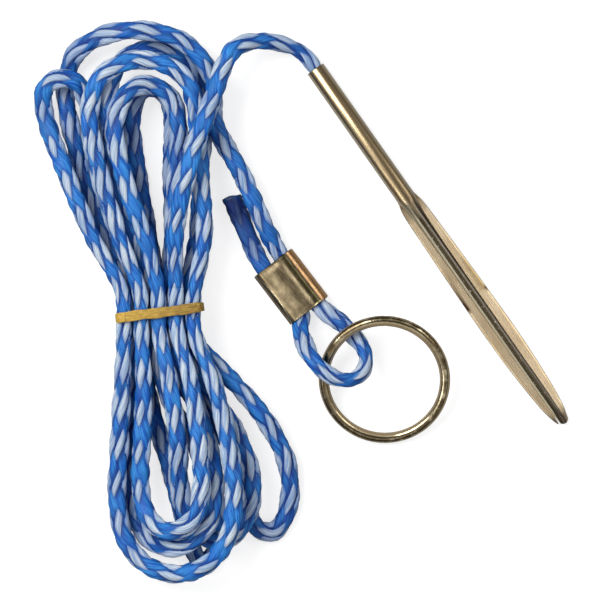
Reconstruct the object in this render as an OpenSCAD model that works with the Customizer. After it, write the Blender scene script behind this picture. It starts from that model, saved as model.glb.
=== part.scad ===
// Fish stringer: a needle and a ring on one flat braided cord, wound up and held by a rubber band.
// Lengths are millimetres, +Z is up, and the whole thing lies on the plane z = 0.

/* [Needle] */
// Length of the needle from its mouth to its tip
needle_l = 104; // [90:1:130]
// Outer diameter of the round shank
shank_d = 4.6; // [4.4:0.1:6]
// Length of the round shank
shank_l = 39.6; // [30:0.5:50]
// Wall of the sheet that the needle is rolled from
needle_wall = 0.4; // [0.3:0.05:0.5]
// Length of the shoulder between the shank and the blade
shoulder_l = 5; // [3:0.5:8]
// Greatest width of the blade
blade_w = 7.3; // [6:0.1:10]
// Width of the rib that runs to the tip
rib_w = 2.1; // [1.6:0.1:2.6]
// Rise of the rib over the wings
rib_rise = 1; // [0.6:0.1:1.5]
// Height of the wings over the ground beside the rib
wing_z = 2; // [1.6:0.1:2.6]
// Fall of each wing from the rib to its edge
wing_fall = 0.8; // [0.3:0.1:1.1]
// How far the blade comes down towards its tip
tip_drop = 0.9; // [0:0.1:0.9]

/* [Ring] */
// Radius of the ring to the middle of its wire
ring_r = 14.5; // [14:0.1:15]
// Diameter of the ring's wire
wire_d = 2.5; // [2:0.1:2.6]
// Tilt of the ring, which leans on the cord
ring_tilt = 15; // [14:0.5:16]

/* [Sleeve] */
// Length of the crimp sleeve along the cord
sleeve_l = 14.2; // [10:0.1:18]
// Width of the crimp sleeve across both runs of the cord
sleeve_w = 11.4; // [11.3:0.1:13]
// Height of the crimp sleeve
sleeve_h = 5; // [4.9:0.1:6]
// Wall of the crimp sleeve
sleeve_wall = 0.6; // [0.4:0.05:0.65]
// Width of the shallow groove that the crimp tool leaves
crimp_w = 2.4; // [1.5:0.1:4]
// Depth of that groove
crimp_depth = 0.25; // [0.1:0.05:0.3]

/* [Cord] */
// Width of the flat cord where it lies free
cord_w = 5; // [4.6:0.1:5]
// Height of the flat cord where it lies free
cord_h = 3.7; // [3.4:0.05:3.7]
// Width of a run of the cord under the band
waist_w = 3.65; // [3.4:0.05:3.65]
// Height of a run of the cord under the band
waist_h = 3.1; // [2.8:0.05:3.1]
// Step from one run to the next under the band
lane_step = 4.15; // [4.15:0.05:4.3]
// Air between two layers of the cord
layer_gap = 0.45; // [0.45:0.05:0.5]

/* [Band] */
// Width of the rubber band
band_w = 2.4; // [1.5:0.1:3]
// Thickness of the rubber band
band_t = 0.55; // [0.4:0.05:0.6]
// Air between the band and the cord
band_clear = 0.3; // [0.3:0.05:0.4]
// Slant of the band across the bundle
band_turn = 7.7; // [0:0.1:8]

/* [Hidden] */
round_fn = 64;

// Places are measured from the middle of the band, on the ground
mouth = [37.4, 58.4];
needle_turn = -54.9;
ring_mid = [53.9, -16];
ring_turn = -10.4;
sleeve_mid = [31.6, 6.2];
sleeve_turn = -52.6;

shank_r = shank_d / 2;
bore_r = shank_r - needle_wall;
wire_r = wire_d / 2;
ring_z = wire_r + ring_r * sin(ring_tilt);

// Points of half a blade section from its edge to its middle, as shares of half its width
half_shares = [0.99, 0.8, 0.6, 0.42, 0.3, 0.24, 0.16, 0.08];
// Outline of the blade: share of its length, and share of its greatest width
outline_shares = [
  [0, 0.7], [0.06, 0.79], [0.15, 0.87], [0.27, 0.93], [0.4, 0.98], [0.52, 1], [0.63, 0.98],
  [0.74, 0.91], [0.83, 0.82], [0.9, 0.71], [0.95, 0.62], [0.98, 0.53], [1, 0.36]
];
// How far the shank has turned into a blade along the shoulder
shoulder_shares = [0, 0.15, 0.5, 0.85];

// The sleeve takes two runs of the cord side by side
run_w_share = 0.475;
run_h_share = 0.94;
run_w = (sleeve_w - 2 * sleeve_wall) * run_w_share;
run_h = (sleeve_h - 2 * sleeve_wall) * run_h_share;
run_step = (sleeve_w - 2 * sleeve_wall) / 4;

// The cord's end in the needle, its way in from the mouth and the neck that lets the needle swing
end_clear = 0.1;
end_start = 2.4;
end_l = 11;
neck_shares = [[0.75, 0.3], [0.6, 1.25], [0.2, 1.66], [-0.2, 1.4], [-0.75, 1.4], [-1.35, 2]];

// Free stretches of the cord: x, y, z, width and height of each ring
lead_points = [
  [35.4, 61.1, 2.4, 4.1, 3.9], [33.6, 62.6, 2.6, 4.1, 3.9], [31, 63.8, 3.2, 4.2, 3.8],
  [28, 64.6, 4.4, 4.4, 3.7], [24.1, 64.9, 6.2, 4.6, 3.7], [20.6, 64.3, 8, 4.8, 3.7],
  [17.8, 62.6, 9.4, 4.9, 3.7], [16, 59.8, 10.6, 5, 3.7], [14.6, 56.2, 11.6, 5, 3.7],
  [12.9, 51, 12.6, 5, 3.7], [11, 45.8, 13.3, 5, 3.7], [9, 40.2, 13.6, 5, 3.7],
  [7.3, 34.2, 13.5, 5, 3.7], [5.7, 28.5, 13, 5, 3.6], [4.6, 22.6, 12, 4.8, 3.5],
  [4, 16.4, 10.6, 4.5, 3.4], [4, 11, 9.8, 4.2, 3.3]
];
tail_points = [
  [13.1, 51.2, 5.8, 5, 3.7], [13, 47, 5.4, 5, 3.7], [14.6, 42.4, 4.8, 5, 3.7],
  [17.6, 37, 4.7, 5, 3.7], [20, 32.6, 5, 5, 3.7], [22.5, 27, 5, 5, 3.7], [25, 21.4, 4.3, 5, 3.7]
];
eye_points = [
  [40.6, -0.4, 2.9, 5, 3.7], [43.9, -2.7, 3.6, 5, 3.7], [46.3, -5.4, 4.2, 4.6, 3.7],
  [48.5, -8, 5.1, 4.2, 3.9], [49.5, -11.2, 6.3, 4, 4], [48.5, -14.4, 7.5, 4, 4],
  [45.8, -16, 8.6, 4, 4], [42.5, -15.7, 9.2, 4.2, 3.9], [39.2, -13.8, 9.2, 4.4, 3.7],
  [36.5, -10.7, 8.1, 4.6, 3.7], [34.7, -7.2, 5.9, 4.8, 3.7], [33.8, -3.9, 3.7, 4.8, 3.6]
];
stub_points = [[23.4, 13.5, 2.3, 5, 3.7], [21.4, 17.9, 2, 5, 3.7], [19.4, 22.8, 1.9, 5.2, 3.6],
  [17.5, 27.2, 1.9, 5.2, 3.4]];

// The hank: where each half loop leaves the waist, in steps to the right and layers from the ground
lanes = [
  [1, 2], [-1, 2], [2, 2], [-2, 2], [-1, 0], [-0.5, 1],
  [1.5, 1], [0, 0], [1, 0], [0, 2], [0.5, 1], [-1.5, 1]
];
// Each half loop: middle x and y, half width and half height of its bow, first and last angle,
// seven levels along it, and its lean where it leaves and enters the waist
half_loops = [
  [3, -42.4, 7.2, 9.6, 0, -180, [2.8, 3.1, 3.2, 2.75, 1.75, 1.35, 1.8], 0.3, 0.1],
  [-3.8, 49.8, 12.4, 10.4, 180, 0, [2, 2.15, 2.35, 1.85, 1.7, 1.7, 1.7], -0.3, 0.35],
  [4.1, -46.4, 13.9, 16, 0, -180, [2.45, 2.7, 2.6, 1.5, 1.2, 0.9, 1.6], 0.38, 0],
  [-22.8, 51.2, 5, 4.8, 195, 15, [1.5, 0.6, 0.95, 1.35, 1.25, 0.9, 0], -0.5, -0.1],
  [10.8, -51.4, 3.6, 8.4, -155, 0, [0, 0, 0, 0, 0, 0, 0.95], -0.04, -0.02],
  [-1, 52.2, 11, 11, 180, 0, [1.1, 1.4, 1, 0.4, 0, 0, 0.5], -0.15, 0.25],
  [26, -42, 5.4, 10.8, 25, -180, [1.1, 0.25, 0, 0, 0, 0, 0], 0.65, -0.04],
  [-1.8, 48, 4.6, 5.8, 180, 0, [0, 0, 0, 0, 0, 0, 0], -0.1, -0.06],
  [13.8, -42.2, 8.6, 12.4, 0, -180, [1.05, 1.05, 1.1, 1.1, 1.1, 1.5, 2.6], 0.22, 0.2],
  [-2.8, 45, 7.4, 9.4, 180, 0, [2.2, 2.35, 2.2, 1.5, 1, 1, 1], -0.05, 0.05],
  [3, -42.8, 10.4, 13.2, 0, -180, [1.65, 2, 2.25, 1.75, 0.05, 0, 0.6], 0.24, 0.05],
  [-5.4, 57, 16.6, 10.4, 180, 20, [0, 0, 0.6, 1.5, 1.3, 1, 1], -0.45, 0]
];
last_loop = len(half_loops) - 1;
// Half of the straight run through the waist, and the straight run at each end of the hank
waist_run = 2.5;
end_run = 6;
// Rings on each leg and each bow, and the reach of a leg's curve as shares of its length
leg_rings = 3;
bow_rings = 6;
waist_reach_share = 0.36;
bow_reach_share = 0.34;
// Height of the lowest runs over the ground, which leaves room for the band below them
waist_base = band_t + band_clear;
// Least way along the cord between two points whose gap is measured
apart = 14;

function unit(v) = v / norm(v);
function flat(a) = [cos(a), sin(a)];
function mix(a, b, t) = a * (1 - t) + b * t;

// Tubes: sections are ellipses that lie flat, and faces are triangles
function way(p, i) = unit(p[min(i + 1, len(p) - 1)] - p[max(i - 1, 0)]);
function oval(p, t, w, h, n) =
  let (s = unit([-t.y, t.x, 0]), u = cross(t, s))
  [for (i = [0 : n - 1]) p + s * w / 2 * cos(360 * i / n) + u * h / 2 * sin(360 * i / n)];
function place(r) = [r[0], r[1], r[2]];

module skin(sections) {
  n = len(sections[0]);
  last = (len(sections) - 1) * n;
  polyhedron(
    points = [for (s = sections) each s],
    faces = concat(
      [for (k = [0 : len(sections) - 2], i = [0 : n - 1])
        let (a = k * n + i, b = k * n + (i + 1) % n)
        each [[a, a + n, b], [b, a + n, b + n]]],
      [for (i = [1 : n - 2]) [0, i, i + 1]],
      [for (i = [1 : n - 2]) [last, last + i + 1, last + i]]
    )
  );
}

module tube(rings, sides, first = undef, last = undef) {
  p = [for (r = rings) place(r)];
  end = len(p) - 1;
  skin([for (i = [0 : end])
    let (t = i == 0 && first != undef ? first : i == end && last != undef ? last : way(p, i))
    oval(p[i], t, rings[i][3], rings[i][4], sides)]);
}

// The hank's route, a list of rings: x, y, z, width and height
function level_z(v) = cord_h / 2 + v * (cord_h + layer_gap);
function lane_point(k, up) =
  [lanes[k][0] * lane_step, up * waist_run,
    waist_base + waist_h / 2 + lanes[k][1] * (waist_h + layer_gap)];
function bow_point(h, a) = [h[0] + h[2] * cos(a), h[1] + h[3] * sin(a)];
function bow_way(h, a) = unit([-h[2] * sin(a), h[3] * cos(a)]) * sign(h[5] - h[4]);
function curve(a, b, c, d, t) =
  pow(1 - t, 3) * a + 3 * t * pow(1 - t, 2) * b + 3 * t * t * (1 - t) * c + pow(t, 3) * d;
function ring_at(xy, z, grown) =
  [xy.x, xy.y, z, mix(waist_w, cord_w, grown), mix(waist_h, cord_h, grown)];

// A leg runs from the waist, at share 0, to one end of the bow, at share 1
function leg_ring(h, lane, up, lean, a, outward, mid, end, t) =
  let (
    p = [lane.x, lane.y],
    q = bow_point(h, a),
    l = norm(q - p),
    d = unit([lean, up]) * l * waist_reach_share,
    e = bow_way(h, a) * l * bow_reach_share * (outward ? 1 : -1)
  )
  ring_at(curve(p, p + d, q - e, q, t),
    lookup(t, [[0, lane.z], [0.5, level_z(mid)], [1, level_z(end)]]), min(1, 2 * t));

function half_loop(k) =
  let (h = half_loops[k], v = h[6], up = sign(h[1]))
  concat(
    [for (i = [0 : leg_rings - 1])
      leg_ring(h, lane_point(k, up), up, h[7], h[4], true, v[0], v[1], i / leg_rings)],
    [for (i = [0 : bow_rings - (k == last_loop ? 0 : 1)])
      let (u = i / bow_rings)
      ring_at(bow_point(h, mix(h[4], h[5], u)), level_z(lookup(u,
        [[0, v[1]], [0.25, v[2]], [0.5, v[3]], [0.75, v[4]], [1, v[5]]])), 1)],
    k == last_loop ? [] : [for (i = [leg_rings : -1 : 0])
      leg_ring(h, lane_point(k + 1, up), up, h[8], h[5], false, v[6], v[5], i / leg_rings)]
  );

hank_out = bow_way(half_loops[last_loop], half_loops[last_loop][5]);
hank_body = [for (k = [0 : last_loop]) each half_loop(k)];
hank_last = hank_body[len(hank_body) - 1];
hank_start = ring_at([lanes[0][0] * lane_step, end_run], lane_point(0, 1).z, 0.25);
hank_end = ring_at([hank_last.x, hank_last.y] + hank_out * end_run, hank_last.z, 1);
hank = concat([hank_start], hank_body, [hank_end]);

// The least gap between stretches of the hank, from ovals round points along its middle line
module say_hank() {
  s = [for (i = [0 : len(hank) - 2], k = [0 : 2]) mix(hank[i], hank[i + 1], k / 3)];
  far = [for (i = 0, d = 0; i < len(s); i = i + 1,
    d = i < len(s) ? d + norm(place(s[i]) - place(s[i - 1])) : d) d];
  gaps = [for (i = [0 : len(s) - 2], j = [i + 1 : len(s) - 1])
    if (far[j] - far[i] > apart)
      let (
        across = norm([s[i].x - s[j].x, s[i].y - s[j].y]),
        rise = abs(s[i].z - s[j].z),
        q = norm([2 * across / (s[i][3] + s[j][3]), 2 * rise / (s[i][4] + s[j][4])])
      )
      norm([across, rise]) * (1 - 1 / q)];
  echo(hank_rings = len(hank), hank_length = far[len(far) - 1], least_gap = min(gaps));
}

// Places in the sleeve: along it from its middle, and sideways by runs of the cord
function in_sleeve(along, side) =
  sleeve_mid + flat(sleeve_turn) * along + flat(sleeve_turn + 90) * side * run_step;
function run_ring(along, side) =
  let (p = in_sleeve(along, side)) [p.x, p.y, sleeve_h / 2, run_w, run_h];
sleeve_way = [cos(sleeve_turn), sin(sleeve_turn), 0];
half_sleeve = sleeve_l / 2;

// Blade sections, each a closed line of points: across, and up from the ground
blade_l = needle_l - shank_l - shoulder_l;
function bump(x, r) = abs(x) < r ? rib_rise * sqrt(1 - pow(x / r, 2)) : 0;
function wing(x) = wing_z - wing_fall * abs(x) / (blade_w / 2);
function top_z(x) = wing(x) + needle_wall / 2 + bump(x, rib_w / 2);
function low_z(x) = wing(x) - needle_wall / 2 + bump(x, rib_w / 2 - needle_wall);
across_shares = concat(half_shares, [0], [for (i = [len(half_shares) - 1 : -1 : 0]) -half_shares[i]]);
// A section at a way along the needle: half its width, how much of it is blade, and how far it drops
function needle_section(along, half, grown, drop) =
  let (r = shank_r - needle_wall / 2)
  concat(
    [for (s = across_shares)
      [along, half * s, mix(shank_r + r * sqrt(1 - s * s), top_z(half * s), grown) - drop]],
    [for (s = across_shares)
      [along, -half * s, mix(shank_r - r * sqrt(1 - s * s), low_z(-half * s), grown) - drop]]
  );
plug_l = 1.5;
plug_r = shank_r - needle_wall / 2;
blade_start = outline_shares[0][1] * blade_w / 2;
needle_sections = concat(
  [needle_section(shank_l - plug_l, plug_r, 0, 0)],
  [for (i = [0 : len(shoulder_shares) - 1])
    needle_section(shank_l + shoulder_l * i / len(shoulder_shares),
      mix(plug_r, blade_start, shoulder_shares[i]), shoulder_shares[i], 0)],
  [for (o = outline_shares)
    needle_section(shank_l + shoulder_l + blade_l * o[0], o[1] * blade_w / 2, 1, tip_drop * o[0])]
);

// The metal pieces' outer limits, whose middle is the origin
needle_dir = flat(needle_turn);
tip_points = [for (o = outline_shares)
  mouth + needle_dir * (shank_l + shoulder_l + blade_l * o[0])
    + flat(needle_turn + 90) * o[1] * blade_w / 2 * half_shares[0]];
ring_up = [-sin(ring_turn) * sin(ring_tilt), cos(ring_turn) * sin(ring_tilt)];
right_x = max([for (p = tip_points) p.x]);
left_x = sleeve_mid.x - half_sleeve * cos(sleeve_turn) + sleeve_w / 2 * sin(sleeve_turn);
back_y = mouth.y + shank_r * cos(needle_turn);
front_y = ring_mid.y - wire_r - ring_r * sqrt(1 - pow(ring_up.y, 2));
middle = [(left_x + right_x) / 2, (back_y + front_y) / 2];

module placed() translate([-middle.x, -middle.y, 0]) children();
module along_needle() placed() translate([mouth.x, mouth.y, 0]) rotate([0, 0, needle_turn]) children();

// A flat oval, the section of the sleeve
module flat_oval(w, h) {
  square([w - h, h], center = true);
  for (side = [-1, 1]) translate([side * (w - h) / 2, 0]) circle(d = h, $fn = round_fn);
}

// The outline of the band round the bundle, which is narrower at the ground
module band_outline(grow) {
  r = waist_h / 2 + grow;
  low = waist_base + waist_h / 2;
  high = low + 2 * (waist_h + layer_gap);
  low_x = lane_step + (waist_w - waist_h) / 2;
  high_x = 2 * lane_step + (waist_w - waist_h) / 2;
  hull() {
    for (side = [-1, 1]) {
      translate([side * low_x, low]) circle(r = r, $fn = 24);
      translate([side * high_x, high]) circle(r = r, $fn = 24);
    }
  }
}

module needle() {
  color("darkkhaki") along_needle() union() {
    difference() {
      translate([0, 0, shank_r]) rotate([0, 90, 0]) cylinder(r = shank_r, h = shank_l, $fn = round_fn);
      translate([-plug_l, 0, shank_r]) rotate([0, 90, 0])
        cylinder(r = bore_r, h = shank_l + 2 * plug_l, $fn = round_fn);
    }
    skin(needle_sections);
  }
}

module ring() {
  color("goldenrod") placed() translate([ring_mid.x, ring_mid.y, ring_z])
    rotate([ring_tilt, 0, ring_turn]) rotate_extrude($fn = round_fn)
      translate([ring_r, 0]) circle(r = wire_r, $fn = round_fn);
}

module sleeve() {
  groove_r = (pow(crimp_w / 2, 2) + pow(crimp_depth, 2)) / (2 * crimp_depth);
  color("tan") placed() translate([sleeve_mid.x, sleeve_mid.y, sleeve_h / 2])
    rotate([0, 0, sleeve_turn]) difference() {
      rotate([90, 0, 90]) linear_extrude(sleeve_l, center = true) difference() {
        flat_oval(sleeve_w, sleeve_h);
        flat_oval(sleeve_w - 2 * sleeve_wall, sleeve_h - 2 * sleeve_wall);
      }
      translate([0, 0, sleeve_h / 2 + groove_r - crimp_depth]) rotate([90, 0, 0])
        cylinder(r = groove_r, h = 2 * sleeve_w, center = true, $fn = round_fn);
    }
}

module rubber_band() {
  color("peru") placed() rotate([90, 0, band_turn]) linear_extrude(band_w, center = true) difference() {
    band_outline(band_clear + band_t);
    band_outline(band_clear);
  }
}

module cord_needle_end() {
  color("royalblue") along_needle() translate([end_start, 0, shank_r]) rotate([0, 90, 0])
    cylinder(r = bore_r - end_clear, h = end_l, $fn = 24);
}

module cord_lead() {
  neck = [for (n = neck_shares)
    let (p = mouth + needle_dir * n[0] * bore_r)
    [p.x, p.y, shank_r, n[1] * bore_r, n[1] * bore_r]];
  color("royalblue") placed() tube(concat(neck, lead_points, [hank_start]), 10, last = [0, -1, 0]);
}

module cord_hank() {
  say_hank();
  color("cornflowerblue") placed() tube(hank, 6);
}

module cord_tail() {
  color("royalblue") placed() tube(
    concat([hank_end], tail_points, [run_ring(-half_sleeve, 1)]), 10,
    [hank_out.x, hank_out.y, 0], sleeve_way);
}

module cord_eye() {
  color("royalblue") placed() tube(
    concat([run_ring(-half_sleeve, 1), run_ring(half_sleeve, 1)], eye_points,
      [run_ring(half_sleeve, -1), run_ring(-half_sleeve, -1)]), 10,
    sleeve_way, -sleeve_way);
}

module cord_stub() {
  color("midnightblue") placed() tube(
    concat([run_ring(-half_sleeve, -1)], stub_points), 10, -sleeve_way);
}

needle();
ring();
sleeve();
rubber_band();
cord_needle_end();
cord_lead();
cord_hank();
cord_tail();
cord_eye();
cord_stub();
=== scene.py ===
# %% [markdown]
# # A fish stringer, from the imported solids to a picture
#
# The object is a length of flat braided cord, wound up and held by a rubber band,
# with a hollow brass needle on one end and a ring in an eye on the other.
# The solids give the places, and these cells give each piece its real surface.
# Everything is in metres, in the frame of the solids, so nothing has to be fitted.

# %% Load the solids
import math

import bmesh
import bpy
import numpy as np
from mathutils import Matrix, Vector


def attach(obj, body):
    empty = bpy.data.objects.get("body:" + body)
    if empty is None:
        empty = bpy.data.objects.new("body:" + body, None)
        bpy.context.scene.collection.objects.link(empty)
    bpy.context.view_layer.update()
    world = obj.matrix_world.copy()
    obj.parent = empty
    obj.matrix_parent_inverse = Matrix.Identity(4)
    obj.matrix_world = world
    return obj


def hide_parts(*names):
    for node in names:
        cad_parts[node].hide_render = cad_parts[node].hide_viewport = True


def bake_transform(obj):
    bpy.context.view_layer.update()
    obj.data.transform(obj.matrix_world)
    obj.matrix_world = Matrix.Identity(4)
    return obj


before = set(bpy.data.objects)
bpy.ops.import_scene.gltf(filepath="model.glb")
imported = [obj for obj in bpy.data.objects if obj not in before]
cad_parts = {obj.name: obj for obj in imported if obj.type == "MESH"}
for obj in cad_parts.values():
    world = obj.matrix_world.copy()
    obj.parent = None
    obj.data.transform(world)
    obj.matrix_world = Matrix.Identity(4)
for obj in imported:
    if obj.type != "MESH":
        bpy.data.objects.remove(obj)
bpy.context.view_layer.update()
bpy.ops.object.select_all(action="DESELECT")

# %% [markdown]
# ## The camera
#
# The photograph looks straight down through a long lens, so the camera stands high
# over the middle of the picture, with the top of the picture towards +Y.

# %% Camera
MM = 0.001
VIEW_MIDDLE = (-26.79 * MM, -11.22 * MM)
VIEW_WIDTH = 144 * MM
CAMERA_HEIGHT = 1.4
SENSOR_WIDTH = 36  # millimetres, as the lens is

camera_data = bpy.data.cameras.new("camera")
camera_data.sensor_width = SENSOR_WIDTH
camera_data.lens = SENSOR_WIDTH * CAMERA_HEIGHT / VIEW_WIDTH
camera = bpy.data.objects.new("camera", camera_data)
camera.location = (*VIEW_MIDDLE, CAMERA_HEIGHT)
bpy.context.scene.collection.objects.link(camera)
bpy.context.scene.camera = camera
print("lens", round(camera_data.lens), "mm")

# %% [markdown]
# ## Table and light
#
# A catalogue photograph is lit by large soft lamps over a white table. One big lamp
# at the upper left gives the shading, and two weaker ones keep the shadows open. The
# Standard view is set because the usual one would make the white ground grey.

# %% Table and lamps
bpy.context.scene.view_settings.view_transform = "Standard"
TABLE_WIDTH = 6
# each lamp: its name, its place and width in metres, and its power in watts
LAMPS = [
    ("key_lamp", (-0.48, 0.30, 0.70), 0.55, 4.9),
    ("fill_lamp", (0.55, 0.25, 0.60), 0.40, 1.0),
    ("low_lamp", (-0.42, -0.30, 0.55), 0.26, 0.5),
]

bpy.ops.mesh.primitive_plane_add(size=TABLE_WIDTH, location=(0, 0, 0))
table = bpy.context.object
table.name = "table"


def add_lamp(name, place, size, watts):
    data = bpy.data.lights.new(name, "AREA")
    data.shape = "DISK"
    data.size = size
    data.energy = watts
    lamp = bpy.data.objects.new(name, data)
    lamp.location = place
    lamp.rotation_mode = "QUATERNION"
    lamp.rotation_quaternion = Vector(place).to_track_quat("Z", "Y")
    bpy.context.scene.collection.objects.link(lamp)


for lamp in LAMPS:
    add_lamp(*lamp)

# %% [markdown]
# ## Writing shader sums as plain sums
#
# A material is a net of small nodes. A socket wrapped in this class can be added
# and multiplied like a number, and each sum puts its Math node into the net.

# %% Sums on sockets
MATHS = {"+": "ADD", "-": "SUBTRACT", "*": "MULTIPLY", "^": "POWER"}


class Value:
    """A socket of a material, with sums that add Math nodes."""

    def __init__(self, net, socket):
        self.net = net
        self.socket = socket

    def sum(self, sign, left, right):
        return self.net.add("ShaderNodeMath", {"operation": MATHS[sign]}, {0: left, 1: right})

    def __add__(self, other):
        return self.sum("+", self, other)

    def __radd__(self, other):
        return self.sum("+", other, self)

    def __sub__(self, other):
        return self.sum("-", self, other)

    def __rsub__(self, other):
        return self.sum("-", other, self)

    def __mul__(self, other):
        return self.sum("*", self, other)

    def __rmul__(self, other):
        return self.sum("*", other, self)

    def __pow__(self, other):
        return self.sum("^", self, other)


# %% [markdown]
# ## Making nodes
#
# Every node of a material or of the sky comes from one method, which is given the
# node's type, its settings and what goes into its sockets. Colours are written as on
# the web and turned into the linear numbers that Blender counts with. A finish has a
# tone, and each thing that changes it is laid over it as a thin coat.


# %% Nets of nodes and finishes
def colour(text):
    """A colour from six hex digits, as Blender's linear numbers."""
    parts = [int(text[i : i + 2], 16) / 255 for i in (0, 2, 4)]
    return [c / 12.92 if c < 0.04045 else ((c + 0.055) / 1.055) ** 2.4 for c in parts] + [1]


class Net:
    """A net of nodes, and the one method that adds a node to it."""

    def __init__(self, tree):
        self.tree = tree

    def add(self, kind, settings=None, sockets=None, out=0):
        node = self.tree.nodes.new(kind)
        for key, setting in (settings or {}).items():
            if key == "stops":
                self.set_stops(node.color_ramp, setting)
            else:
                setattr(node, key, setting)
        for key, given in (sockets or {}).items():
            self.put(node.inputs[key], given)
        return Value(self, node.outputs[out])

    def set_stops(self, ramp, stops):
        while len(ramp.elements) < len(stops):
            ramp.elements.new(0.5)
        for element, (place, shade) in zip(ramp.elements, stops):
            element.position = place
            element.color = colour(shade)

    def put(self, socket, given):
        if isinstance(given, Value):
            self.tree.links.new(given.socket, socket)
        else:
            socket.default_value = given


class Finish(Net):
    """A material with a tone that coats of colour are laid on."""

    def __init__(self, name):
        self.material = bpy.data.materials.new(name)
        self.material.use_nodes = True
        super().__init__(self.material.node_tree)
        self.shader = self.tree.nodes["Principled BSDF"]

    def set(self, **sockets):
        for key, given in sockets.items():
            self.put(self.shader.inputs[key.replace("_", " ")], given)

    def mix(self, share, low, high):
        settings = {"data_type": "RGBA", "clamp_factor": True}
        return self.add("ShaderNodeMix", settings, {0: share, 6: low, 7: high}, 2)

    def coat(self, share, tone, shade):
        """The tone with a coat of one shade over it, as thick as the share says."""
        return self.mix(share, tone, colour(shade))

    def attribute(self, name):
        return self.add("ShaderNodeAttribute", {"attribute_name": name}, out=2)

    def places(self, scale=(1, 1, 1), output="Object"):
        source = self.add("ShaderNodeTexCoord", out=output)
        return self.add("ShaderNodeMapping", None, {"Vector": source, "Scale": scale})

    def noise(self, vector, scale, detail, rough):
        sockets = {"Vector": vector, "Scale": scale, "Detail": detail, "Roughness": rough}
        return self.add("ShaderNodeTexNoise", None, sockets)

    def span(self, value, low, high, new_low=0.0, new_high=1.0):
        """The new low at low and the new high at high, with a straight line between."""
        sockets = {0: value, 1: low, 2: high, 3: new_low, 4: new_high}
        return self.add("ShaderNodeMapRange", {"clamp": True}, sockets)

    def bump(self, height, distance, strength):
        sockets = {"Height": height, "Distance": distance, "Strength": strength}
        return self.add("ShaderNodeBump", None, sockets)


print("one net, with", len(MATHS), "kinds of sum")

# %% [markdown]
# ## Table and sky
#
# The table is a light grey that glows for the camera's own rays. So the ground is as
# white as in the photograph, and what lies on it still gets only soft light from
# below. Round metal shows the room: the sky is dark straight above, where the camera
# stands, white in a wide ring round it, and dark again lower down, which gives the
# wire its dark edges.

# %% Table and sky finishes
TABLE_GLOW = 0.72
SKY_LIGHT = 0.62
# the sky's tones, from the horizon at 0 to straight above at 1
SKY_STOPS = [(0, "9A9A98"), (0.45, "6A6866"), (0.6, "FFFFFF"), (0.9, "FFFFFF"), (0.97, "5A554C")]

table_finish = Finish("table_white")
table_finish.set(Base_Color=colour("B4B4B4"), Roughness=0.8)
seen_by_camera = table_finish.add("ShaderNodeLightPath")
table_finish.set(Emission_Color=colour("FFFFFF"), Emission_Strength=seen_by_camera * TABLE_GLOW)
table.data.materials.append(table_finish.material)

sky = bpy.data.worlds.new("sky")
bpy.context.scene.world = sky
sky.use_nodes = True
sky_net = Net(sky.node_tree)
sky_way = sky_net.add("ShaderNodeTexCoord", out="Generated")
sky_height = sky_net.add("ShaderNodeSeparateXYZ", None, {0: sky_way}, "Z")
sky_tone = sky_net.add("ShaderNodeValToRGB", {"stops": SKY_STOPS}, {0: sky_height})
sky_light = sky.node_tree.nodes["Background"]
sky_net.put(sky_light.inputs["Color"], sky_tone)
sky_net.put(sky_light.inputs["Strength"], SKY_LIGHT)
print("table and sky are set")

# %% [markdown]
# ## The cord's way
#
# The real cord is one length. It leaves the needle, climbs over the bundle, goes round
# it six times, comes out at the top right, runs through the crimp sleeve, round the
# ring, back through the sleeve, and ends in a sealed cut. The points below are the
# same as in the part's source, in millimetres from the middle of the band.

# %% The source's points
MIDDLE = np.array([60.5122, 14.2251, 0])
CORD_W, CORD_H = 5, 3.7
WAIST_W, WAIST_H = 3.65, 3.1
LANE_STEP, LAYER_GAP = 4.15, 0.45
BAND_W, BAND_T, BAND_CLEAR, BAND_TURN = 2.4, 0.55, 0.3, 7.7
MOUTH = np.array([37.4, 58.4])
NEEDLE_TURN = -54.9
NEEDLE_L, SHANK_D, SHANK_L, NEEDLE_WALL = 104, 4.6, 39.6, 0.4
SHOULDER_L, BLADE_W = 5, 7.3
WING_Z, WING_FALL, TIP_DROP = 2, 0.8, 0.9
RING_R, WIRE_D, RING_TILT, RING_TURN = 14.5, 2.5, 15, -10.4
RING_MID = np.array([53.9, -16])
SLEEVE_L, SLEEVE_W, SLEEVE_H, SLEEVE_WALL = 14.2, 11.4, 5, 0.6
SLEEVE_MID = np.array([31.6, 6.2])
SLEEVE_TURN = -52.6
WAIST_BASE = BAND_T + BAND_CLEAR
WAIST_RUN, END_RUN = 2.5, 6
LEG_RINGS, BOW_RINGS = 3, 6

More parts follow.
